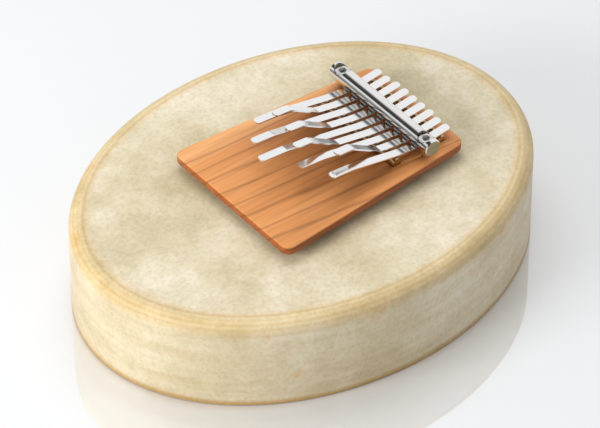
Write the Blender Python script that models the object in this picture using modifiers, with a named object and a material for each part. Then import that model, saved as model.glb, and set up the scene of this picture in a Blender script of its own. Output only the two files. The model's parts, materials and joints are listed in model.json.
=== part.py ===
"""Thumb piano on an oval hide drum.

Nine spring-steel tines are clamped on a tapered wooden board by a round steel bar and two
socket screws. The board stands on two cleats on the head of an oval frame drum, whose hide
covers the top and the side of a bent wooden frame that is open below.

Metres, +Z up. The origin is the middle of the drum's underside, the tips of the tines point
to -X and their tails to +X.
"""

import math

import bmesh
import bpy
from mathutils import Matrix, Vector

# Drum
DRUM_LENGTH = 0.2696
DRUM_WIDTH = 0.2062
DRUM_HEIGHT = 0.0566
RIM_RADIUS = 0.0070
SKIN_THICKNESS = 0.0008
SKIN_HEM_HEIGHT = 0.0005
FRAME_WALL = 0.0080
FRAME_INNER_ROUND = 0.0020
FRAME_FOOT_ROUND = 0.0008

# Gaps between pieces that touch on the real instrument
SEAT_GAP = 0.0003
BRIDGE_GAP = 0.0006

# Tines
TINE_COUNT = 9
TINE_PITCH = 0.0072
TINE_WIDTH = 0.0050
TINE_THICKNESS = 0.0009
TINE_END_RADIUS = 0.0021
RISE_SLOPE = 0.22
LEVEL_SLOPE = 0.10
CRANK_RUN = 0.0190
CRANK_RISE = 0.0118
CLAMP_BEND_RADIUS = 0.0300
BRIDGE_BEND_RADIUS = 0.0400
LEVEL_BEND_RADIUS = 0.0250
CRANK_BEND_RADIUS = 0.0050

# Tines from the far side to the near side. Plain: tail behind the bar, bend and tip ahead of
# the front bridge. Cranked: tail behind the bar, foot of the crank and tip ahead of the bridge.
TINES = [
    ("plain", 0.0212, 0.0352, 0.0483),
    ("cranked", 0.0212, 0.0123, 0.0413),
    ("plain", 0.0222, 0.0482, 0.0612),
    ("cranked", 0.0223, 0.0150, 0.0437),
    ("plain", 0.0221, 0.0506, 0.0675),
    ("cranked", 0.0219, 0.0212, 0.0499),
    ("plain", 0.0219, 0.0380, 0.0523),
    ("cranked", 0.0209, 0.0050, 0.0340),
    ("plain", 0.0210, 0.0289, 0.0430),
]

# Clamp bar, its screws and the inserts that take them
BAR_X = 0.0548
BAR_DIAMETER = 0.0100
BAR_CHAMFER = 0.0005
BAR_END_MARGIN = 0.0062
BAR_FLOOR = 0.0032
BAR_PRESS = 0.00185
SCREW_DIAMETER = 0.0050
SCREW_LENGTH = 0.0120
SCREW_HEAD_DIAMETER = 0.0085
SCREW_HEAD_HEIGHT = 0.0050
SCREW_HEAD_CHAMFER = 0.0004
SCREW_TIP_CHAMFER = 0.0006
SCREW_TO_TINE = 0.0015
HEAD_CLEARANCE = 0.00025
SHANK_CLEARANCE = 0.0003
HEX_ACROSS_FLATS = 0.0040
HEX_DEPTH = 0.0025
INSERT_DIAMETER = 0.0074
INSERT_TOP_COVER = 0.0010
INSERT_FLANGE_DIAMETER = 0.0100
INSERT_FLANGE_THICKNESS = 0.0008

# Bridges: round rods in grooves across the board
FRONT_BRIDGE_DIAMETER = 0.0060
FRONT_BRIDGE_AHEAD = 0.0166
FRONT_GROOVE_DEPTH = 0.00165
REAR_BRIDGE_DIAMETER = 0.0045
REAR_BRIDGE_BEHIND = 0.0142
REAR_GROOVE_DEPTH = 0.0011
BRIDGE_OVERHANG = 0.0005
BRIDGE_END_ROUND = 0.0004

# Board and the cleats under it
BOARD_LENGTH = 0.1277
BOARD_THICKNESS = 0.0050
BOARD_BESIDE_BAR = 0.0008
BOARD_TAPER = math.radians(4.23)
BOARD_CORNER_RADIUS = 0.0090
BOARD_EDGE_ROUND = 0.0012
TAIL_TO_EDGE = 0.0014
CLEAT_HEIGHT = 0.0043
CLEAT_DEPTH = 0.0120
CLEAT_SIDE_MARGIN = 0.0140
CLEAT_ROUND = 0.0008
FRONT_CLEAT_INSET = 0.0200
REAR_CLEAT_INSET = 0.0115

# Fineness of the round shapes
OVAL_POINTS = 96
TURNED_STEPS = 32
ARC_STEPS = 6

# Places worked out from the sizes
TINE_SPAN = (TINE_COUNT - 1) * TINE_PITCH + TINE_WIDTH
SCREW_Y = TINE_SPAN / 2 + SCREW_TO_TINE + SCREW_DIAMETER / 2
BAR_LENGTH = 2 * (SCREW_Y + BAR_END_MARGIN)
BRIDGE_LENGTH = TINE_SPAN + 2 * BRIDGE_OVERHANG
FRONT_BRIDGE_X = BAR_X - FRONT_BRIDGE_AHEAD
REAR_BRIDGE_X = BAR_X + REAR_BRIDGE_BEHIND
BOARD_REAR_X = BAR_X + max(tine[1] for tine in TINES) + TAIL_TO_EDGE
BOARD_FRONT_X = BOARD_REAR_X - BOARD_LENGTH
BOARD_BOTTOM = DRUM_HEIGHT + CLEAT_HEIGHT
BOARD_TOP = BOARD_BOTTOM + BOARD_THICKNESS
FRONT_BRIDGE_TOP = BOARD_TOP - FRONT_GROOVE_DEPTH + FRONT_BRIDGE_DIAMETER
REAR_BRIDGE_TOP = BOARD_TOP - REAR_GROOVE_DEPTH + REAR_BRIDGE_DIAMETER
FRONT_TINE_Z = FRONT_BRIDGE_TOP + BRIDGE_GAP + TINE_THICKNESS / 2
REAR_TINE_Z = REAR_BRIDGE_TOP + BRIDGE_GAP + TINE_THICKNESS / 2


def clear_scene():
    for obj in list(bpy.data.objects):
        bpy.data.objects.remove(obj, do_unlink=True)


def make_collection(name, helpers=False):
    collection = bpy.data.collections.new(name)
    bpy.context.scene.collection.children.link(collection)
    collection.hide_render = helpers
    return collection


def make_material(name, colour, roughness, metallic=0.0):
    material = bpy.data.materials.new(name)
    material.use_nodes = True
    material.diffuse_color = (*colour, 1.0)
    shader = material.node_tree.nodes["Principled BSDF"]
    shader.inputs["Base Color"].default_value = (*colour, 1.0)
    shader.inputs["Roughness"].default_value = roughness
    shader.inputs["Metallic"].default_value = metallic
    return material


clear_scene()
PARTS = make_collection("kalimba")
CUTTERS = make_collection("cutters", helpers=True)
HIDE = make_material("natural_hide", (0.72, 0.65, 0.48), 0.6)
BEECH = make_material("beech_plywood", (0.62, 0.42, 0.24), 0.55)
CHERRY = make_material("cherry_wood", (0.60, 0.27, 0.10), 0.45)
POLISHED = make_material("polished_steel", (0.80, 0.80, 0.80), 0.15, 1.0)
SPRING = make_material("spring_steel", (0.75, 0.75, 0.74), 0.22, 1.0)
BRASS = make_material("brass", (0.75, 0.58, 0.32), 0.3, 1.0)


def add_object(name, data, material=None, location=(0, 0, 0), rotation=(0, 0, 0)):
    """A named part, or a cutter where it has no material."""
    obj = bpy.data.objects.new(name, data)
    obj.location = location
    obj.rotation_euler = rotation
    if material is None:
        CUTTERS.objects.link(obj)
        obj.hide_render = True
        obj.display_type = "WIRE"
    else:
        PARTS.objects.link(obj)
        data.materials.append(material)
    return obj


def smooth(mesh, angle=35):
    mesh.shade_smooth()
    mesh.set_sharp_from_angle(angle=math.radians(angle))


def polyline_mesh(name, points, closed=False):
    """Edges through points in the XZ plane, as a profile for a Screw modifier."""
    bm = bmesh.new()
    verts = [bm.verts.new((x, 0, z)) for x, z in points]
    for first, second in zip(verts, verts[1:]):
        bm.edges.new((first, second))
    if closed:
        bm.edges.new((verts[-1], verts[0]))
    mesh = bpy.data.meshes.new(name)
    bm.to_mesh(mesh)
    bm.free()
    return mesh


def turned(name, profile, material, location, rotation=(0, 0, 0), closed=False):
    """A piece turned about its own Z axis. The profile runs down its outer side."""
    mesh = polyline_mesh(name, profile, closed)
    obj = add_object(name, mesh, material, location, rotation)
    screw = obj.modifiers.new("turn", "SCREW")
    screw.steps = TURNED_STEPS
    screw.render_steps = TURNED_STEPS
    screw.use_merge_vertices = True
    screw.merge_threshold = 0.00001
    screw.use_smooth_shade = True
    return obj


def cut(obj, cutter):
    boolean = obj.modifiers.new("cut_" + cutter.name, "BOOLEAN")
    boolean.operation = "DIFFERENCE"
    boolean.solver = "EXACT"
    boolean.object = cutter


def arc(centre, radius, start, end, steps=ARC_STEPS):
    """Points on an arc, from one angle to another, in degrees."""
    angles = [math.radians(start + (end - start) * i / steps) for i in range(steps + 1)]
    return [(centre[0] + radius * math.cos(a), centre[1] + radius * math.sin(a)) for a in angles]


def oval(inset):
    """The drum's outline, moved inwards by the same amount all round."""
    half_length = DRUM_LENGTH / 2
    half_width = DRUM_WIDTH / 2
    points = []
    for i in range(OVAL_POINTS):
        angle = 2 * math.pi * i / OVAL_POINTS
        place = Vector((half_length * math.cos(angle), half_width * math.sin(angle)))
        inward = Vector((-math.cos(angle) / half_length, -math.sin(angle) / half_width))
        points.append(place + inward.normalized() * inset)
    return points


def poly_curve(name, points, closed=True):
    curve = bpy.data.curves.new(name, "CURVE")
    curve.dimensions = "2D"
    spline = curve.splines.new("POLY")
    spline.points.add(len(points) - 1)
    for point, place in zip(spline.points, points):
        point.co = (place[0], place[1], 0, 1)
    spline.use_cyclic_u = closed
    return curve


def frame_ring():
    """A bent wooden hoop: its wall section swept along the oval."""
    top = DRUM_HEIGHT - SKIN_THICKNESS - SEAT_GAP
    shoulder = RIM_RADIUS - SKIN_THICKNESS - SEAT_GAP
    crown = FRAME_WALL - FRAME_INNER_ROUND
    foot = FRAME_FOOT_ROUND
    section = []
    section += arc((foot, foot), foot, 270, 180, 2)
    section += arc((shoulder, top - shoulder), shoulder, 180, 90)
    section += arc((max(crown, shoulder), top - FRAME_INNER_ROUND), FRAME_INNER_ROUND, 90, 0, 3)
    section += arc((FRAME_WALL - foot, foot), foot, 0, -90, 2)
    wall = add_object("frame_section", poly_curve("frame_section", section))
    hoop = poly_curve("frame_ring", oval(SKIN_THICKNESS + SEAT_GAP))
    hoop.bevel_mode = "OBJECT"
    hoop.bevel_object = wall
    return add_object("frame_ring", hoop, BEECH)


def drum_skin():
    """One hide: a flat head, a rounded rim and a skirt down to the frame's foot."""
    bm = bmesh.new()
    rim = [bm.verts.new((x, y, DRUM_HEIGHT)) for x, y in oval(0)]
    bm.faces.new(rim)
    skirt = bmesh.ops.extrude_edge_only(bm, edges=list(bm.edges))["geom"]
    lower = [item for item in skirt if isinstance(item, bmesh.types.BMVert)]
    bmesh.ops.translate(bm, verts=lower, vec=(0, 0, SKIN_HEM_HEIGHT - DRUM_HEIGHT))
    bmesh.ops.recalc_face_normals(bm, faces=list(bm.faces))
    mesh = bpy.data.meshes.new("drum_skin")
    bm.to_mesh(mesh)
    bm.free()
    skin = add_object("drum_skin", mesh, HIDE)
    rounding = skin.modifiers.new("rim", "BEVEL")
    rounding.width = RIM_RADIUS
    rounding.segments = ARC_STEPS
    rounding.limit_method = "ANGLE"
    rounding.angle_limit = math.radians(60)
    wall = skin.modifiers.new("hide", "SOLIDIFY")
    wall.thickness = SKIN_THICKNESS
    wall.offset = -1
    wall.use_even_offset = True
    mesh.shade_smooth()
    return skin


def board_width(x):
    """The board narrows evenly from its front to its rear edge."""
    return BAR_LENGTH + 2 * BOARD_BESIDE_BAR + 2 * math.tan(BOARD_TAPER) * (BAR_X - x)


def rounded_outline(corners, radius):
    """A polygon with each corner turned into an arc of this radius."""
    points = []
    count = len(corners)
    for i, corner in enumerate(corners):
        corner = Vector(corner)
        to_last = (Vector(corners[i - 1]) - corner).normalized()
        to_next = (Vector(corners[(i + 1) % count]) - corner).normalized()
        half = to_last.angle(to_next) / 2
        centre = corner + (to_last + to_next).normalized() * radius / math.sin(half)
        start = corner + to_last * radius / math.tan(half)
        end = corner + to_next * radius / math.tan(half)
        first = start - centre
        sweep = first.angle_signed(end - centre)
        for step in range(ARC_STEPS + 1):
            turn = Matrix.Rotation(-sweep * step / ARC_STEPS, 2)
            points.append(centre + turn @ first)
    return points


def bridge_groove(name, x, radius, top):
    """Cutter for the groove that a bridge rod lies in."""
    half = BRIDGE_LENGTH / 2 + SEAT_GAP
    reach = radius + SEAT_GAP
    profile = [(0, half), (reach, half), (reach, -half), (0, -half)]
    centre = (x, 0, top - radius)
    return turned(name, profile, None, centre, (math.radians(90), 0, 0))


def insert_hole(name, y):
    """Cutter for a screw's hole through the board, wider below for the threaded insert."""
    screw_reach = SCREW_DIAMETER / 2 + SHANK_CLEARANCE
    insert_reach = INSERT_DIAMETER / 2 + SHANK_CLEARANCE
    step = BOARD_TOP - INSERT_TOP_COVER
    over = BOARD_TOP + BOARD_THICKNESS
    under = BOARD_BOTTOM - BOARD_THICKNESS / 2
    profile = [(0, over), (screw_reach, over), (screw_reach, step)]
    profile += [(insert_reach, step), (insert_reach, under), (0, under)]
    return turned(name, profile, None, (BAR_X, y, 0))


def kalimba_board():
    """The tapered soundboard, with its grooves and screw holes."""
    front = board_width(BOARD_FRONT_X) / 2
    rear = board_width(BOARD_REAR_X) / 2
    corners = [
        (BOARD_FRONT_X, -front),
        (BOARD_REAR_X, -rear),
        (BOARD_REAR_X, rear),
        (BOARD_FRONT_X, front),
    ]
    plate = poly_curve("board_outline", rounded_outline(corners, BOARD_CORNER_RADIUS))
    plate.fill_mode = "BOTH"
    plate.extrude = BOARD_THICKNESS / 2 - BOARD_EDGE_ROUND
    plate.bevel_depth = BOARD_EDGE_ROUND
    plate.bevel_resolution = 1
    plate.offset = -BOARD_EDGE_ROUND
    flat = add_object("board_outline", plate, CHERRY)
    bpy.context.view_layer.update()
    graph = bpy.context.evaluated_depsgraph_get()
    mesh = bpy.data.meshes.new_from_object(flat.evaluated_get(graph))
    bpy.data.objects.remove(flat)
    bm = bmesh.new()
    bm.from_mesh(mesh)
    bmesh.ops.remove_doubles(bm, verts=list(bm.verts), dist=0.00001)
    bmesh.ops.recalc_face_normals(bm, faces=list(bm.faces))
    bm.to_mesh(mesh)
    bm.free()
    smooth(mesh)
    board = bpy.data.objects.new("kalimba_board", mesh)
    board.location.z = (BOARD_TOP + BOARD_BOTTOM) / 2
    PARTS.objects.link(board)
    front_radius = FRONT_BRIDGE_DIAMETER / 2
    rear_radius = REAR_BRIDGE_DIAMETER / 2
    cut(board, bridge_groove("front_groove", FRONT_BRIDGE_X, front_radius, FRONT_BRIDGE_TOP))
    cut(board, bridge_groove("rear_groove", REAR_BRIDGE_X, rear_radius, REAR_BRIDGE_TOP))
    cut(board, insert_hole("far_hole", SCREW_Y))
    cut(board, insert_hole("near_hole", -SCREW_Y))
    return board


def cleat(name, x):
    """A wooden strip glued between the head and the board."""
    length = board_width(x) - 2 * CLEAT_SIDE_MARGIN
    bm = bmesh.new()
    size = Matrix.Diagonal((CLEAT_DEPTH, length, CLEAT_HEIGHT, 1))
    bmesh.ops.create_cube(bm, size=1, matrix=size)
    upright = [e for e in bm.edges if abs(e.verts[0].co.z - e.verts[1].co.z) > CLEAT_HEIGHT / 2]
    bmesh.ops.bevel(bm, geom=upright, offset=CLEAT_ROUND, segments=3, profile=0.5, affect="EDGES")
    mesh = bpy.data.meshes.new(name)
    bm.to_mesh(mesh)
    bm.free()
    smooth(mesh)
    return add_object(name, mesh, BEECH, (x, 0, DRUM_HEIGHT + CLEAT_HEIGHT / 2))


def bridge(name, x, diameter, top):
    """A brass rod across the board, under the tines."""
    radius = diameter / 2
    half = BRIDGE_LENGTH / 2
    soft = BRIDGE_END_ROUND
    profile = [(0, half), (radius - soft, half), (radius, half - soft)]
    profile += [(radius, soft - half), (radius - soft, -half), (0, -half)]
    return turned(name, profile, BRASS, (x, 0, top - radius), (math.radians(90), 0, 0))


def smooth_path(corners, radii):
    """A path through straight runs, with each inner corner rounded to its radius."""
    points = [Vector(corners[0])]
    for i, radius in enumerate(radii, start=1):
        corner = Vector(corners[i])
        back = (Vector(corners[i - 1]) - corner).normalized()
        ahead = (Vector(corners[i + 1]) - corner).normalized()
        half = back.angle(ahead) / 2
        centre = corner + (back + ahead).normalized() * radius / math.sin(half)
        first = corner + back * radius / math.tan(half) - centre
        last = corner + ahead * radius / math.tan(half) - centre
        sweep = first.angle_signed(last)
        for step in range(ARC_STEPS + 1):
            turn = Matrix.Rotation(-sweep * step / ARC_STEPS, 2)
            points.append(centre + turn @ first)
    points.append(Vector(corners[-1]))
    return points


def tine_path(kind, tail, bend, tip):
    """The middle line of a tine in the XZ plane, from its tail to its tip."""
    share = FRONT_BRIDGE_AHEAD / (FRONT_BRIDGE_AHEAD + REAR_BRIDGE_BEHIND)
    clamp_z = FRONT_TINE_Z + (REAR_TINE_Z - FRONT_TINE_Z) * share - BAR_PRESS
    tail_slope = (REAR_TINE_Z - clamp_z) / REAR_BRIDGE_BEHIND
    bend_z = FRONT_TINE_Z + RISE_SLOPE * bend
    corners = [
        (BAR_X + tail, clamp_z + tail_slope * tail),
        (BAR_X, clamp_z),
        (FRONT_BRIDGE_X, FRONT_TINE_Z),
        (FRONT_BRIDGE_X - bend, bend_z),
    ]
    radii = [CLAMP_BEND_RADIUS, BRIDGE_BEND_RADIUS]
    if kind == "cranked":
        head = bend + CRANK_RUN
        bend_z += CRANK_RISE
        corners.append((FRONT_BRIDGE_X - head, bend_z))
        radii += [CRANK_BEND_RADIUS, CRANK_BEND_RADIUS]
    else:
        head = bend
        radii.append(LEVEL_BEND_RADIUS)
    corners.append((FRONT_BRIDGE_X - tip, bend_z + LEVEL_SLOPE * (tip - head)))
    return smooth_path(corners, radii)


def height_at(path, x):
    """Height of a path at one place along the instrument."""
    for first, second in zip(path, path[1:]):
        if second.x <= x <= first.x:
            return first.y + (second.y - first.y) * (first.x - x) / (first.x - second.x)
    return path[-1].y


TINE_PATHS = [tine_path(*tine) for tine in TINES[:TINE_COUNT]]
PIVOT_Z = height_at(TINE_PATHS[0], BAR_X)
BAR_Z = PIVOT_Z + TINE_THICKNESS / 2 + SEAT_GAP + BAR_DIAMETER / 2


def strip_rows(path):
    """(place, half width) along a strip of spring steel with rounded ends."""
    stations = [0.0]
    for first, second in zip(path, path[1:]):
        stations.append(stations[-1] + (second - first).length)
    total = stations[-1]
    radius = TINE_END_RADIUS
    ends = [radius * (1 - math.cos(math.radians(18 * i))) for i in range(6)]
    inner = [s for s in stations if radius < s < total - radius]
    rows = []
    for station in ends + inner + [total - end for end in reversed(ends)]:
        index = max(i for i, s in enumerate(stations[:-1]) if s <= station + 1e-9)
        share = (station - stations[index]) / (stations[index + 1] - stations[index])
        place = path[index].lerp(path[index + 1], share)
        from_end = min(station, total - station, radius)
        corner = math.sqrt(radius**2 - (radius - from_end) ** 2)
        rows.append((place, TINE_WIDTH / 2 - radius + corner))
    return rows


def tine(number, path, y):
    """One tine, with its origin where the bar holds it."""
    name = f"tine_{number}"
    rows = strip_rows(path)
    bm = bmesh.new()
    bmesh.ops.create_grid(bm, x_segments=len(rows) - 1, y_segments=1, size=1)
    for vert in bm.verts:
        index = round((vert.co.x + 1) / 2 * (len(rows) - 1))
        place, half_width = rows[index]
        side = 1 if vert.co.y > 0 else -1
        vert.co = (place.x - BAR_X, side * half_width, place.y - PIVOT_Z)
    mesh = bpy.data.meshes.new(name)
    bm.to_mesh(mesh)
    bm.free()
    mesh.shade_smooth()
    obj = add_object(name, mesh, SPRING, (BAR_X, y, PIVOT_Z))
    plate = obj.modifiers.new("thickness", "SOLIDIFY")
    plate.thickness = TINE_THICKNESS
    plate.offset = 0
    plate.use_even_offset = True
    return obj


def screw_seat(name, y):
    """Cutter for a screw's counterbore and clearance hole in the bar."""
    head_reach = SCREW_HEAD_DIAMETER / 2 + HEAD_CLEARANCE
    shank_reach = SCREW_DIAMETER / 2 + SHANK_CLEARANCE
    seat = BAR_Z - BAR_DIAMETER / 2 + BAR_FLOOR
    over = BAR_Z + BAR_DIAMETER
    under = BAR_Z - BAR_DIAMETER
    profile = [(0, over), (head_reach, over), (head_reach, seat)]
    profile += [(shank_reach, seat), (shank_reach, under), (0, under)]
    return turned(name, profile, None, (BAR_X, y, 0))


def pressure_bar():
    """The round bar that clamps the tines, cut at both ends for the screws."""
    radius = BAR_DIAMETER / 2
    half = BAR_LENGTH / 2
    soft = BAR_CHAMFER
    profile = [(0, half), (radius - soft, half), (radius, half - soft)]
    profile += [(radius, soft - half), (radius - soft, -half), (0, -half)]
    bar = turned("pressure_bar", profile, POLISHED, (BAR_X, 0, BAR_Z), (math.radians(90), 0, 0))
    cut(bar, screw_seat("far_seat", SCREW_Y))
    cut(bar, screw_seat("near_seat", -SCREW_Y))
    return bar


def clamp_screw(name, y):
    """A socket-head screw, with its origin under the head."""
    head = SCREW_HEAD_DIAMETER / 2
    shank = SCREW_DIAMETER / 2
    top = SCREW_HEAD_HEIGHT
    profile = [(0, top), (head - SCREW_HEAD_CHAMFER, top), (head, top - SCREW_HEAD_CHAMFER)]
    profile += [(head, 0), (shank, 0), (shank, SCREW_TIP_CHAMFER - SCREW_LENGTH)]
    profile += [(shank - SCREW_TIP_CHAMFER, -SCREW_LENGTH), (0, -SCREW_LENGTH)]
    seat = BAR_Z - BAR_DIAMETER / 2 + BAR_FLOOR
    screw = turned(name, profile, POLISHED, (BAR_X, y, seat))
    bm = bmesh.new()
    reach = HEX_ACROSS_FLATS / 2 / math.cos(math.radians(30))
    bmesh.ops.create_cone(
        bm, cap_ends=True, segments=6, radius1=reach, radius2=reach, depth=2 * HEX_DEPTH
    )
    mesh = bpy.data.meshes.new(name + "_socket")
    bm.to_mesh(mesh)
    bm.free()
    cut(screw, add_object(name + "_socket", mesh, None, (BAR_X, y, seat + top)))
    return screw


def threaded_insert(name, y):
    """A flanged brass insert in the underside of the board."""
    body = INSERT_DIAMETER / 2
    flange = INSERT_FLANGE_DIAMETER / 2
    bore = SCREW_DIAMETER / 2 + SHANK_CLEARANCE
    top = BOARD_THICKNESS - INSERT_TOP_COVER - SEAT_GAP
    low = -INSERT_FLANGE_THICKNESS
    profile = [(bore, top), (body, top), (body, 0), (flange, 0), (flange, low), (bore, low)]
    return turned(name, profile, BRASS, (BAR_X, y, BOARD_BOTTOM), closed=True)


frame_ring()
drum_skin()
kalimba_board()
cleat("front_cleat", BOARD_FRONT_X + FRONT_CLEAT_INSET)
cleat("rear_cleat", BOARD_REAR_X - REAR_CLEAT_INSET)
bridge("front_bridge", FRONT_BRIDGE_X, FRONT_BRIDGE_DIAMETER, FRONT_BRIDGE_TOP)
bridge("rear_bridge", REAR_BRIDGE_X, REAR_BRIDGE_DIAMETER, REAR_BRIDGE_TOP)
for order, middle_line in enumerate(TINE_PATHS):
    tine(order + 1, middle_line, TINE_SPAN / 2 - TINE_WIDTH / 2 - order * TINE_PITCH)
pressure_bar()
for side_name, side_y in (("far", SCREW_Y), ("near", -SCREW_Y)):
    clamp_screw(side_name + "_clamp_screw", side_y)
    threaded_insert(side_name + "_threaded_insert", side_y)
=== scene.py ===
"""Finish of a thumb piano on an oval hide drum: hide, cherry, beech, steel and brass."""

import json
import math

import bmesh
import bpy
from mathutils import Matrix, Vector


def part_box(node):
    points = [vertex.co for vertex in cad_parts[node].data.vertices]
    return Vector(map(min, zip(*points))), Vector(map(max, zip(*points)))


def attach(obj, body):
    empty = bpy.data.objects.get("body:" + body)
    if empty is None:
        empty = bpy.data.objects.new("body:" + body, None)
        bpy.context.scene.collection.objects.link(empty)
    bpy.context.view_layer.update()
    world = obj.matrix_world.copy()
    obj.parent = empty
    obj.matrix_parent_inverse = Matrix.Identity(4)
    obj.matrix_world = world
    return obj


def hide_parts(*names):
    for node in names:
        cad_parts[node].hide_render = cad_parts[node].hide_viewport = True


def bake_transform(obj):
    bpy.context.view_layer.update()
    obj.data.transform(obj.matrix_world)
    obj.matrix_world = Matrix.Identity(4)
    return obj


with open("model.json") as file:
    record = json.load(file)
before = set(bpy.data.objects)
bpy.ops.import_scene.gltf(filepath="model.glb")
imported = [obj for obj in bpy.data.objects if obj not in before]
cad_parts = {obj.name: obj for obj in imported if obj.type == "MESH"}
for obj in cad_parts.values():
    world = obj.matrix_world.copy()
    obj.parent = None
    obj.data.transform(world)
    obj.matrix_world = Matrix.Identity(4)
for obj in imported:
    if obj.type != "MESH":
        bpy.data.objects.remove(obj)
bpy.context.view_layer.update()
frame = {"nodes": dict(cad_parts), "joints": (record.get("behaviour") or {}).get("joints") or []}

# View, fitted to the photograph: angles in radians, lens and sensor in millimetres
VIEW_AZIMUTH = -0.6671
VIEW_ELEVATION = 0.7335
VIEW_DISTANCE = 2.450
VIEW_TARGET = Vector((0.0190, 0.0268, 0.0))
VIEW_END = 20
LENS = 270.0
SENSOR = 36.0

# Lamps: name, place, width, depth and power
LAMPS = [
    ("overhead", Vector((0.25, 0.55, 1.5)), 1.2, 0.8, 9),
    ("left_side", Vector((-1.3, 0.1, 0.55)), 0.7, 0.5, 17),
]

# Surround: its light, and how bright it looks in a reflection from the -X side (0) to the +X side (1)
SURROUND_LIGHT = 0.63
SURROUND_IN_GLOSS = [
    (0.10, 0.34),
    (0.13, 1.3),
    (0.20, 1.3),
    (0.235, 0.07),
    (0.50, 0.10),
    (0.60, 1.45),
]

# Table top: how far it reaches from the middle, its finish, and the share of it that mirrors
TABLE_REACH = 6.0
TABLE_COLOUR = (0.82, 0.83, 0.845, 1)
TABLE_ROUGHNESS = 0.04
TABLE_MIRROR = 0.33

# Hide
RIM_RADIUS = 0.0070
HIDE_THICKNESS = 0.0008
HIDE_SMOOTH_ANGLE = math.radians(50)

# Fineness of the hide's mesh
AROUND = 288
RIM_STEPS = 14
WALL_STEPS = 10
HEAD_STEPS = 12

# Distances up the hide, over the rim and in along the head. The last one scales the others
HEM_TOP = 0.0045
HIDE_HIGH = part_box("drum_skin")[1]
HIDE_RIM_END = HIDE_HIGH[2] - RIM_RADIUS + RIM_RADIUS * math.pi / 2
HIDE_REACH = HIDE_HIGH[2] + HIDE_HIGH[1]

# Board: slant of each side, corners, eased edges, and the grooves for the bridges
BOARD_TAPER = math.radians(4.23)
BOARD_CORNER = 0.0055
BOARD_CORNER_STEPS = 10
BOARD_EASE = 0.0009
BOARD_EASE_STEPS = 4
BOARD_EDGE_ANGLE = math.radians(60)
GROOVE_ROOM = 0.0003
GROOVE_SIDES = 48

# Small roundings on metal and wood
TINE_EDGE = 0.00012
METAL_EDGE = 0.00018
WOOD_EDGE = 0.0003
EDGE_STEPS = 3

# Merging and shading of the copied solids
MERGE = 0.000001
FLAT_ANGLE = math.radians(0.5)
SMOOTH_ANGLE = math.radians(35)

# A face of the bar that looks this much along Y lies on one of its ends
END_FACING = 0.95

# Axes that a grain runs along
X_AXIS = 0
Y_AXIS = 1
Z_AXIS = 2

# Sockets of a Mix node that belong to its colours
MIX_FACTOR = 0
MIX_FIRST = 6
MIX_SECOND = 7
MIX_RESULT = 2

WHITE = (1, 1, 1, 1)


def shade(red, green, blue):
    """A colour given as it looks on screen, in linear light."""
    values = [v / 255 for v in (red, green, blue)]
    return tuple(v / 12.92 if v <= 0.04045 else ((v + 0.055) / 1.055) ** 2.4 for v in values) + (1,)


def grey(value):
    return (value, value, value, 1)


def new_node(tree, kind, **settings):
    """A shader node with its settings."""
    node = tree.nodes.new(kind)
    for name, value in settings.items():
        setattr(node, name, value)
    return node


def noise(tree, vector, scale=1.0, detail=4, roughness=0.55):
    node = new_node(tree, "ShaderNodeTexNoise")
    node.inputs["Scale"].default_value = scale
    node.inputs["Detail"].default_value = detail
    node.inputs["Roughness"].default_value = roughness
    tree.links.new(vector, node.inputs["Vector"])
    return node.outputs["Fac"]


def stretched(tree, scale):
    """Object coordinates, scaled along each axis."""
    place = new_node(tree, "ShaderNodeTexCoord")
    mapping = new_node(tree, "ShaderNodeMapping")
    mapping.inputs["Scale"].default_value = scale
    tree.links.new(place.outputs["Object"], mapping.inputs["Vector"])
    return mapping.outputs["Vector"]


def ramp(tree, factor, stops):
    """A colour ramp through (position, colour) stops."""
    node = new_node(tree, "ShaderNodeValToRGB")
    points = node.color_ramp.elements
    while len(points) < len(stops):
        points.new(0.5)
    for point, (position, colour) in zip(points, stops):
        point.position = position
        point.color = colour if len(colour) == 4 else (*colour, 1)
    tree.links.new(factor, node.inputs["Fac"])
    return node.outputs["Color"]


def mix(tree, factor, first, second, blend="MIX"):
    """Two colours mixed. The factor and the colours are sockets or plain values."""
    node = new_node(tree, "ShaderNodeMix", data_type="RGBA", blend_type=blend)
    for index, value in ((MIX_FACTOR, factor), (MIX_FIRST, first), (MIX_SECOND, second)):
        if isinstance(value, bpy.types.NodeSocket):
            tree.links.new(value, node.inputs[index])
        else:
            node.inputs[index].default_value = value
    return node.outputs[MIX_RESULT]


def effect_group(name, inputs, outputs):
    """An empty shader node group with named value inputs and outputs."""
    group = bpy.data.node_groups.new(name, "ShaderNodeTree")
    for label, default in inputs.items():
        socket = group.interface.new_socket(label, in_out="INPUT", socket_type="NodeSocketFloat")
        socket.default_value = default
    for label, kind in outputs.items():
        group.interface.new_socket(label, in_out="OUTPUT", socket_type=kind)
    source = group.nodes.new("NodeGroupInput")
    sink = group.nodes.new("NodeGroupOutput")
    return group, source, sink


# Marks: how far the scratches are drawn out along X, and the share of clouds and of scratches
SCRATCH_STRETCH = (0.06, 1, 1)
CLOUD_SHARE = 0.5
SCRATCH_SHARE = 0.5


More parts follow.
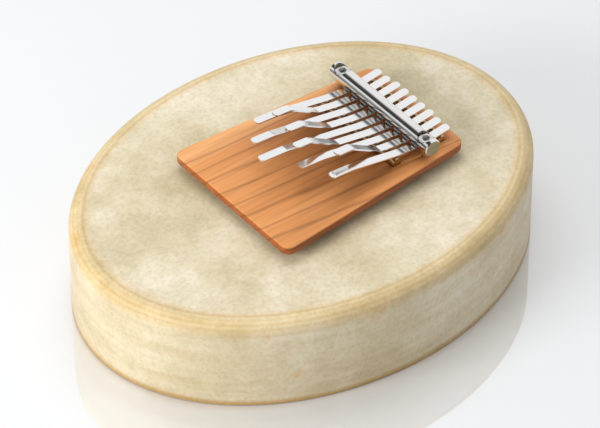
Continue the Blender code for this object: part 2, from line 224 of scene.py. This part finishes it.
def surface_marks():
    """Fine scratches and cloudy smears, shared by the metals and the oiled wood."""
    group, source, sink = effect_group(
        "surface_marks", {"Cloud Size": 60, "Scratch Size": 900}, {"Marks": "NodeSocketFloat"}
    )
    cloud = new_node(group, "ShaderNodeTexNoise")
    group.links.new(stretched(group, (1, 1, 1)), cloud.inputs["Vector"])
    group.links.new(source.outputs["Cloud Size"], cloud.inputs["Scale"])
    scratch = new_node(group, "ShaderNodeTexNoise")
    group.links.new(stretched(group, SCRATCH_STRETCH), scratch.inputs["Vector"])
    group.links.new(source.outputs["Scratch Size"], scratch.inputs["Scale"])
    both = new_node(group, "ShaderNodeMath", operation="MULTIPLY_ADD")
    both.inputs[1].default_value = CLOUD_SHARE
    group.links.new(cloud.outputs["Fac"], both.inputs[0])
    scratches = new_node(group, "ShaderNodeMath", operation="MULTIPLY")
    scratches.inputs[1].default_value = SCRATCH_SHARE
    group.links.new(scratch.outputs["Fac"], scratches.inputs[0])
    group.links.new(scratches.outputs[0], both.inputs[2])
    group.links.new(both.outputs[0], sink.inputs["Marks"])
    return group


MARKS = surface_marks()


def start_material(name, metallic=0.0):
    material = bpy.data.materials.new(name)
    material.use_nodes = True
    tree = material.node_tree
    shader = tree.nodes["Principled BSDF"]
    shader.inputs["Metallic"].default_value = metallic
    return material, tree, shader


def add_bump(tree, shader, height, strength, distance):
    bump = new_node(tree, "ShaderNodeBump")
    bump.inputs["Strength"].default_value = strength
    bump.inputs["Distance"].default_value = distance
    tree.links.new(height, bump.inputs["Height"])
    tree.links.new(bump.outputs["Normal"], shader.inputs["Normal"])


def metal(name, dark, light, smooth_value, rough_value, scratch_size=900):
    """A metal whose colour and roughness vary with its scratches and smears."""
    material, tree, shader = start_material(name, metallic=1.0)
    marks = new_node(tree, "ShaderNodeGroup", node_tree=MARKS)
    marks.inputs["Cloud Size"].default_value = 90
    marks.inputs["Scratch Size"].default_value = scratch_size
    wear = marks.outputs["Marks"]
    tree.links.new(ramp(tree, wear, [(0.3, dark), (0.7, light)]), shader.inputs["Base Color"])
    rough = ramp(tree, wear, [(0.35, grey(smooth_value)), (0.7, grey(rough_value))])
    tree.links.new(rough, shader.inputs["Roughness"])
    add_bump(tree, shader, wear, strength=0.02, distance=0.00003)
    return material


# Patterns of the wood: scale along the grain and across it
WOOD_FIGURE = (3, 42)
WOOD_PORES = (9, 420)
WOOD_RINGS = (5, 55)

# Tones of the wood: place in the pattern, and how much is left of its colour
RING_LINES = [(0.0, grey(0.58)), (0.05, grey(0.84)), (0.16, grey(1.0))]
PORE_SHADE = [(0.38, grey(0.82)), (0.50, grey(1.0))]
# Painted shade: the wood is darkened on faces that turn away from up
WOOD_SIDES_PAINTED_SHADE = [(0.2, shade(190, 158, 138)), (0.85, WHITE)]
WOOD_ROUGHNESS = [(0.3, grey(0.42)), (0.7, grey(0.58))]


def grained(tree, along, scales, fine=1.0):
    """Object coordinates, scaled along the grain and across it."""
    lengthwise, crosswise = scales
    return stretched(tree, tuple(fine * (lengthwise if axis == along else crosswise) for axis in range(3)))


def wood(name, dark, middle, light, along, fine=1.0, painted_side_shade=0.0):
    """Straight-grained wood, with its grain along one axis and painted shade that darkens the faces turned
    away from up.
    """
    material, tree, shader = start_material(name)
    figure = noise(tree, grained(tree, along, WOOD_FIGURE), detail=5, roughness=0.6)
    pores = noise(tree, grained(tree, along, WOOD_PORES, fine), detail=4, roughness=0.65)
    rings = new_node(tree, "ShaderNodeTexWave", wave_type="BANDS", bands_direction="DIAGONAL")
    rings.inputs["Scale"].default_value = 1.0
    rings.inputs["Distortion"].default_value = 5.0
    rings.inputs["Detail"].default_value = 3.0
    rings.inputs["Detail Scale"].default_value = 0.8
    tree.links.new(grained(tree, along, WOOD_RINGS), rings.inputs["Vector"])
    colour = ramp(tree, figure, [(0.32, dark), (0.5, middle), (0.66, light)])
    colour = mix(tree, 0.8, colour, ramp(tree, rings.outputs["Fac"], RING_LINES), "MULTIPLY")
    colour = mix(tree, 0.8, colour, ramp(tree, pores, PORE_SHADE), "MULTIPLY")
    normal = new_node(tree, "ShaderNodeNewGeometry")
    axes = new_node(tree, "ShaderNodeSeparateXYZ")
    tree.links.new(normal.outputs["Normal"], axes.inputs[0])
    # Painted shade on the sides, by how far each face turns away from up
    colour = mix(tree, painted_side_shade, colour, ramp(tree, axes.outputs["Z"], WOOD_SIDES_PAINTED_SHADE), "MULTIPLY")
    tree.links.new(colour, shader.inputs["Base Color"])
    marks = new_node(tree, "ShaderNodeGroup", node_tree=MARKS)
    rough = ramp(tree, marks.outputs["Marks"], WOOD_ROUGHNESS)
    tree.links.new(rough, shader.inputs["Roughness"])
    add_bump(tree, shader, pores, strength=0.12, distance=0.0002)
    return material


# Tones of the hide: place in the pattern, and colour or tint
HEAD_PATCHES = [(0.36, shade(202, 190, 158)), (0.5, shade(217, 206, 178)), (0.66, shade(232, 222, 202))]
HEAD_SPECKLE = [(0.40, shade(214, 205, 176)), (0.60, WHITE)]
HAIRS = [(0.38, shade(224, 218, 200)), (0.55, WHITE)]
WALL_CLOUDS = [(0.34, shade(208, 192, 157)), (0.5, shade(220, 206, 175)), (0.66, shade(233, 223, 200))]
WALL_STREAKS = [(0.35, shade(238, 232, 218)), (0.6, WHITE)]
RUST_SPOTS = [(0.60, WHITE), (0.74, shade(244, 218, 184))]
HIDE_ROUGHNESS = [(0.3, grey(0.34)), (0.7, grey(0.52))]
HEM_TINT = shade(226, 196, 142)
HEM_TINT_SHARE = 0.3

# Where the side's tones end and the head's begin, inwards from the rim's inner edge
SIDE_END = -0.004
HEAD_START = 0.001

# Tints along the rim: distance inwards from the rim's inner edge, and tint. The darker ochre lines are
# stretch lines in the hide; the pale lines at -0.0008 and 0.0020 are painted highlight
RIM_LINES_AND_PAINTED_HIGHLIGHT = [
    (-0.0130, WHITE),
    (-0.0100, shade(252, 244, 228)),
    (-0.0075, shade(246, 234, 210)),
    (-0.0062, shade(253, 246, 230)),
    (-0.0050, shade(243, 229, 198)),
    (-0.0034, shade(253, 246, 230)),
    (-0.0022, shade(245, 232, 204)),
    (-0.0008, shade(254, 248, 232)),
    (0.0006, shade(240, 222, 190)),
    (0.0020, shade(255, 246, 236)),
    (0.0045, WHITE),
]


def up(from_rim):
    """A place on the hide, by its distance inwards from the rim's inner edge."""
    return (HIDE_RIM_END + from_rim) / HIDE_REACH


def hide():
    """Rawhide: pale mottled head, ochre rim with stretch lines and a painted highlight at its inner edge,
    and a streaked side.
    """
    material, tree, shader = start_material("rawhide")
    place = stretched(tree, (1, 1, 1))
    patches = noise(tree, place, scale=16, detail=4, roughness=0.6)
    mottle = noise(tree, place, scale=75, detail=6, roughness=0.7)
    fibres = noise(tree, place, scale=420, detail=5, roughness=0.75)
    head = ramp(tree, patches, HEAD_PATCHES)
    head = mix(tree, 0.30, head, ramp(tree, mottle, HEAD_SPECKLE), "MULTIPLY")
    hairs = ramp(tree, fibres, HAIRS)
    head = mix(tree, 0.45, head, hairs, "MULTIPLY")
    streaks = noise(tree, stretched(tree, (9, 9, 150)), detail=4, roughness=0.6)
    clouds = noise(tree, place, scale=24, detail=5, roughness=0.65)
    wall = ramp(tree, clouds, WALL_CLOUDS)
    wall = mix(tree, 0.7, wall, ramp(tree, streaks, WALL_STREAKS), "MULTIPLY")
    wall = mix(tree, 0.4, wall, hairs, "MULTIPLY")
    spots = noise(tree, place, scale=48, detail=3, roughness=0.6)
    wall = mix(tree, 1.0, wall, ramp(tree, spots, RUST_SPOTS), "MULTIPLY")
    attribute = new_node(tree, "ShaderNodeAttribute", attribute_name="up_the_hide")
    along = attribute.outputs["Fac"]
    side_or_head = ramp(tree, along, [(up(SIDE_END), grey(0)), (up(HEAD_START), grey(1))])
    colour = mix(tree, side_or_head, wall, head)
    hem = HEM_TOP / HIDE_REACH
    bands = [(hem * HEM_TINT_SHARE, HEM_TINT), (hem, WHITE)]
    # Stretch lines over the rim, and pale lines at its inner edge that are painted highlight
    bands += [(up(from_rim), tint) for from_rim, tint in RIM_LINES_AND_PAINTED_HIGHLIGHT]
    colour = mix(tree, 1.0, colour, ramp(tree, along, bands), "MULTIPLY")
    tree.links.new(colour, shader.inputs["Base Color"])
    tree.links.new(ramp(tree, mottle, HIDE_ROUGHNESS), shader.inputs["Roughness"])
    shader.inputs["Subsurface Weight"].default_value = 0.06
    shader.inputs["Subsurface Radius"].default_value = (0.004, 0.0025, 0.0012)
    add_bump(tree, shader, fibres, strength=0.12, distance=0.0003)
    return material


HIDE = hide()
CHERRY = wood(
    "cherry",
    dark=shade(203, 131, 71),
    middle=shade(218, 148, 87),
    light=shade(233, 171, 112),
    along=X_AXIS,
    painted_side_shade=1.0,
)
BEECH = wood(
    "beech",
    dark=shade(188, 150, 104),
    middle=shade(208, 172, 126),
    light=shade(222, 190, 148),
    along=Z_AXIS,
    fine=0.6,
)
# A darker copy of the beech: painted shade for the cleats in the gap under the board
CLEAT_BEECH_PAINTED_SHADE = wood(
    "cleat_beech_painted_shade",
    dark=shade(160, 104, 62),
    middle=shade(182, 124, 78),
    light=shade(196, 140, 94),
    along=Y_AXIS,
)
BAR_STEEL = metal("polished_bar_steel", (0.80, 0.79, 0.77), (0.90, 0.89, 0.88), 0.06, 0.14)
TINE_STEEL = metal("spring_tine_steel", (0.90, 0.90, 0.90), (0.94, 0.94, 0.94), 0.11, 0.15, 1400)
# The bar's ends: rougher steel whose dark olive colour is painted shade and a painted reflection of the
# wood
BAR_END_PAINTED_SHADE = metal("bar_end_painted_shade", (0.26, 0.24, 0.18), (0.42, 0.38, 0.30), 0.24, 0.36)
SCREW_STEEL = metal("screw_steel", (0.62, 0.61, 0.60), (0.76, 0.75, 0.74), 0.14, 0.26)
BRASS = metal("satin_brass", (0.52, 0.39, 0.20), (0.70, 0.55, 0.32), 0.20, 0.34)


def make_mesh(name, bm):
    mesh = bpy.data.meshes.new(name)
    bm.to_mesh(mesh)
    bm.free()
    return mesh


def smooth(mesh, angle=SMOOTH_ANGLE):
    mesh.shade_smooth()
    mesh.set_sharp_from_angle(angle=angle)


def add_object(name, mesh):
    piece = bpy.data.objects.new(name, mesh)
    bpy.context.scene.collection.objects.link(piece)
    return piece


def apply_modifiers(piece):
    """Gives the piece a plain mesh of the shape that its modifiers make."""
    graph = bpy.context.evaluated_depsgraph_get()
    result = bpy.data.meshes.new_from_object(piece.evaluated_get(graph))
    piece.modifiers.clear()
    piece.data = result


def finish_node(node, material, edge=0.0, body="drum"):
    """A merged, smooth-shaded and edge-rounded piece in the place of a CAD node."""
    bm = bmesh.new()
    bm.from_mesh(frame["nodes"][node].data)
    bmesh.ops.remove_doubles(bm, verts=list(bm.verts), dist=MERGE)
    bmesh.ops.dissolve_limit(bm, angle_limit=FLAT_ANGLE, verts=list(bm.verts), edges=list(bm.edges))
    mesh = make_mesh(node + "_finish", bm)
    mesh.materials.append(material)
    smooth(mesh)
    piece = add_object(node + "_finish", mesh)
    if edge:
        rounding = piece.modifiers.new("edges", "BEVEL")
        rounding.width = edge
        rounding.segments = EDGE_STEPS
        rounding.limit_method = "ANGLE"
        rounding.angle_limit = SMOOTH_ANGLE
        rounding.harden_normals = True
        apply_modifiers(piece)
    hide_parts(node)
    if body:
        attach(piece, body)
    return piece


def oval(half_length, half_width, inset):
    """The drum's outline, moved inwards by the same amount all round."""
    points = []
    for i in range(AROUND):
        angle = 2 * math.pi * i / AROUND
        place = Vector((half_length * math.cos(angle), half_width * math.sin(angle)))
        inward = Vector((-math.cos(angle) / half_length, -math.sin(angle) / half_width))
        points.append(place + inward.normalized() * inset)
    return points


def hide_profile(half_length, half_width, foot, height, inset, radius, top_drop):
    """(outline, height, distance up the hide) rings from the foot to near the middle."""
    rings = []
    shoulder = height - RIM_RADIUS
    for step in range(WALL_STEPS):
        z = foot + (shoulder - foot) * step / WALL_STEPS
        rings.append((oval(half_length, half_width, inset), z, z))
    for step in range(RIM_STEPS + 1):
        turn = math.pi / 2 * step / RIM_STEPS
        reach = inset + radius * (1 - math.cos(turn))
        z = shoulder + radius * math.sin(turn)
        rings.append((oval(half_length, half_width, reach), z, shoulder + RIM_RADIUS * turn))
    edge = oval(half_length, half_width, inset + radius)
    rim_end = shoulder + RIM_RADIUS * math.pi / 2
    for step in range(1, HEAD_STEPS):
        share = 1 - step / HEAD_STEPS
        ring = [point * share for point in edge]
        rings.append((ring, height - top_drop, rim_end + half_width * (1 - share)))
    return rings


def drum_hide():
    """The hide as one closed shell: outer surface, hem and inner surface."""
    low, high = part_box("drum_skin")
    size = (high[0], high[1], low[2], high[2])
    outer = hide_profile(*size, inset=0.0, radius=RIM_RADIUS, top_drop=0.0)
    inner = hide_profile(
        *size, inset=HIDE_THICKNESS, radius=RIM_RADIUS - HIDE_THICKNESS, top_drop=HIDE_THICKNESS
    )
    bm = bmesh.new()
    layer = bm.verts.layers.float.new("up_the_hide")

    def ring_verts(outline, z, distance):
        verts = []
        for x, y in outline:
            vert = bm.verts.new((x, y, z))
            vert[layer] = distance / HIDE_REACH
            verts.append(vert)
        return verts

    def middle(z):
        vert = bm.verts.new((0, 0, z))
        vert[layer] = 1.0
        return vert

    rows = [ring_verts(*ring) for ring in reversed(inner)]
    rows += [ring_verts(*ring) for ring in outer]
    for lower, upper in zip(rows, rows[1:]):
        for i in range(AROUND):
            j = (i + 1) % AROUND
            bm.faces.new((lower[i], lower[j], upper[j], upper[i]))
    inside = middle(high[2] - HIDE_THICKNESS)
    outside = middle(high[2])
    for i in range(AROUND):
        j = (i + 1) % AROUND
        bm.faces.new((rows[-1][i], rows[-1][j], outside))
        bm.faces.new((rows[0][j], rows[0][i], inside))
    bmesh.ops.recalc_face_normals(bm, faces=list(bm.faces))
    mesh = make_mesh("hide_finish", bm)
    smooth(mesh, HIDE_SMOOTH_ANGLE)
    mesh.materials.append(HIDE)
    piece = add_object("hide_finish", mesh)
    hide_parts("drum_skin")
    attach(piece, "drum")


def groove(piece, node):
    """Cuts the groove that a bridge rod lies in."""
    low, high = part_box(node)
    radius = (high[0] - low[0]) / 2 + GROOVE_ROOM
    length = high[1] - low[1] + 2 * GROOVE_ROOM
    bm = bmesh.new()
    bmesh.ops.create_cone(
        bm, cap_ends=True, segments=GROOVE_SIDES, radius1=radius, radius2=radius, depth=length
    )
    turn = Matrix.Rotation(math.radians(90), 4, "X")
    middle = (Vector(low) + Vector(high)) / 2
    bmesh.ops.transform(bm, matrix=Matrix.Translation(middle) @ turn, verts=list(bm.verts))
    cutter = add_object(node + "_groove", make_mesh(node + "_groove", bm))
    cut = piece.modifiers.new("groove", "BOOLEAN")
    cut.object = cutter
    apply_modifiers(piece)
    bpy.data.objects.remove(cutter)


def board():
    """The board with its corners as tight as the photograph shows, and its edges eased."""
    low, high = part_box("kalimba_board")
    solid = frame["nodes"]["kalimba_board"].data
    front = max(v.co.y for v in solid.vertices)
    rear = front - math.tan(BOARD_TAPER) * (high[0] - low[0])
    corners = [(low[0], -front), (high[0], -rear), (high[0], rear), (low[0], front)]
    bm = bmesh.new()
    bottom = bm.faces.new([bm.verts.new((x, y, low[2])) for x, y in corners])
    lifted = bmesh.ops.extrude_face_region(bm, geom=[bottom])["geom"]
    top = [item for item in lifted if isinstance(item, bmesh.types.BMVert)]
    bmesh.ops.translate(bm, verts=top, vec=(0, 0, high[2] - low[2]))
    upright = [e for e in bm.edges if abs(e.verts[0].co.z - e.verts[1].co.z) > WOOD_EDGE]
    bmesh.ops.bevel(
        bm,
        geom=upright,
        offset=BOARD_CORNER,
        segments=BOARD_CORNER_STEPS,
        profile=0.5,
        affect="EDGES",
    )
    joined = [e for e in bm.edges if len(e.link_faces) == 2]
    rims = [e for e in joined if e.calc_face_angle() > BOARD_EDGE_ANGLE]
    bmesh.ops.bevel(
        bm, geom=rims, offset=BOARD_EASE, segments=BOARD_EASE_STEPS, profile=0.5, affect="EDGES"
    )
    bmesh.ops.recalc_face_normals(bm, faces=list(bm.faces))
    mesh = make_mesh("board_finish", bm)
    smooth(mesh)
    mesh.materials.append(CHERRY)
    piece = add_object("board_finish", mesh)
    for node in ("front_bridge", "rear_bridge"):
        groove(piece, node)
    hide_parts("kalimba_board")
    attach(piece, "drum")


def pressure_bar():
    """The polished bar, with rougher ends whose dark olive colour is painted shade and a painted
    reflection of the wood.
    """
    bar = finish_node("pressure_bar", BAR_STEEL, METAL_EDGE)
    # The end faces get the dark olive steel: painted shade and a painted reflection of the wood
    bar.data.materials.append(BAR_END_PAINTED_SHADE)
    for face in bar.data.polygons:
        if abs(face.normal.y) > END_FACING:
            face.material_index = 1


def tines():
    """A finished copy of each tine that a joint names, fixed in place; on the real thing a plucked tine
    bends between the front bridge and its tip.
    """
    for joint in frame["joints"]:
        node = joint["child"].removesuffix("_body")
        piece = finish_node(node, TINE_STEEL, TINE_EDGE, body=None)
        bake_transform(piece)


def floor():
    """A pale glossy table top."""
    bm = bmesh.new()
    bmesh.ops.create_grid(bm, x_segments=1, y_segments=1, size=TABLE_REACH)
    mesh = make_mesh("table_top", bm)
    table = add_object("table_top", mesh)
    material, _, shader = start_material("pale_table", metallic=TABLE_MIRROR)
    shader.inputs["Base Color"].default_value = TABLE_COLOUR
    shader.inputs["Roughness"].default_value = TABLE_ROUGHNESS
    mesh.materials.append(material)


def surround():
    """An even pale light all round, with one dark card that only reflections show."""
    world = bpy.data.worlds.new("studio")
    bpy.context.scene.world = world
    world.use_nodes = True
    tree = world.node_tree
    background = tree.nodes["Background"]
    background.inputs["Strength"].default_value = SURROUND_LIGHT
    direction = new_node(tree, "ShaderNodeTexCoord")
    axes = new_node(tree, "ShaderNodeSeparateXYZ")
    tree.links.new(direction.outputs["Generated"], axes.inputs[0])
    spread = new_node(tree, "ShaderNodeMapRange")
    spread.inputs["From Min"].default_value = -1
    tree.links.new(axes.outputs["X"], spread.inputs["Value"])
    stops = [(place, grey(value)) for place, value in SURROUND_IN_GLOSS]
    card = ramp(tree, spread.outputs["Result"], stops)
    path = new_node(tree, "ShaderNodeLightPath")
    glossy = mix(tree, path.outputs["Is Glossy Ray"], WHITE, card)
    tree.links.new(glossy, background.inputs["Color"])


def lamps():
    """Soft lamps that light the object and don't show in its metal."""
    for name, place, width, depth, power in LAMPS:
        data = bpy.data.lights.new(name, "AREA")
        data.shape = "RECTANGLE"
        data.size = width
        data.size_y = depth
        data.energy = power
        lamp = add_object(name, data)
        lamp.visible_glossy = False
        lamp.location = place
        lamp.rotation_euler = (-place).to_track_quat("-Z", "Y").to_euler()


def camera():
    """A camera that looks at the target from the photograph's direction."""
    back = Vector(
        (
            math.sin(VIEW_AZIMUTH) * math.cos(VIEW_ELEVATION),
            -math.cos(VIEW_AZIMUTH) * math.cos(VIEW_ELEVATION),
            math.sin(VIEW_ELEVATION),
        )
    )
    data = bpy.data.cameras.new("view")
    data.lens = LENS
    data.sensor_width = SENSOR
    data.clip_end = VIEW_END
    eye = add_object("view", data)
    eye.location = VIEW_TARGET + back * VIEW_DISTANCE
    eye.rotation_euler = (-back).to_track_quat("-Z", "Y").to_euler()
    bpy.context.scene.camera = eye


camera()
surround()
lamps()
bpy.context.scene.view_settings.view_transform = "Standard"
floor()
drum_hide()
finish_node("frame_ring", BEECH)
board()
finish_node("front_cleat", CLEAT_BEECH_PAINTED_SHADE, WOOD_EDGE)
finish_node("rear_cleat", CLEAT_BEECH_PAINTED_SHADE, WOOD_EDGE)
finish_node("front_bridge", BRASS)
finish_node("rear_bridge", BRASS)
pressure_bar()
for side in ("far", "near"):
    finish_node(side + "_clamp_screw", SCREW_STEEL, METAL_EDGE)
    finish_node(side + "_threaded_insert", BRASS)
tines()
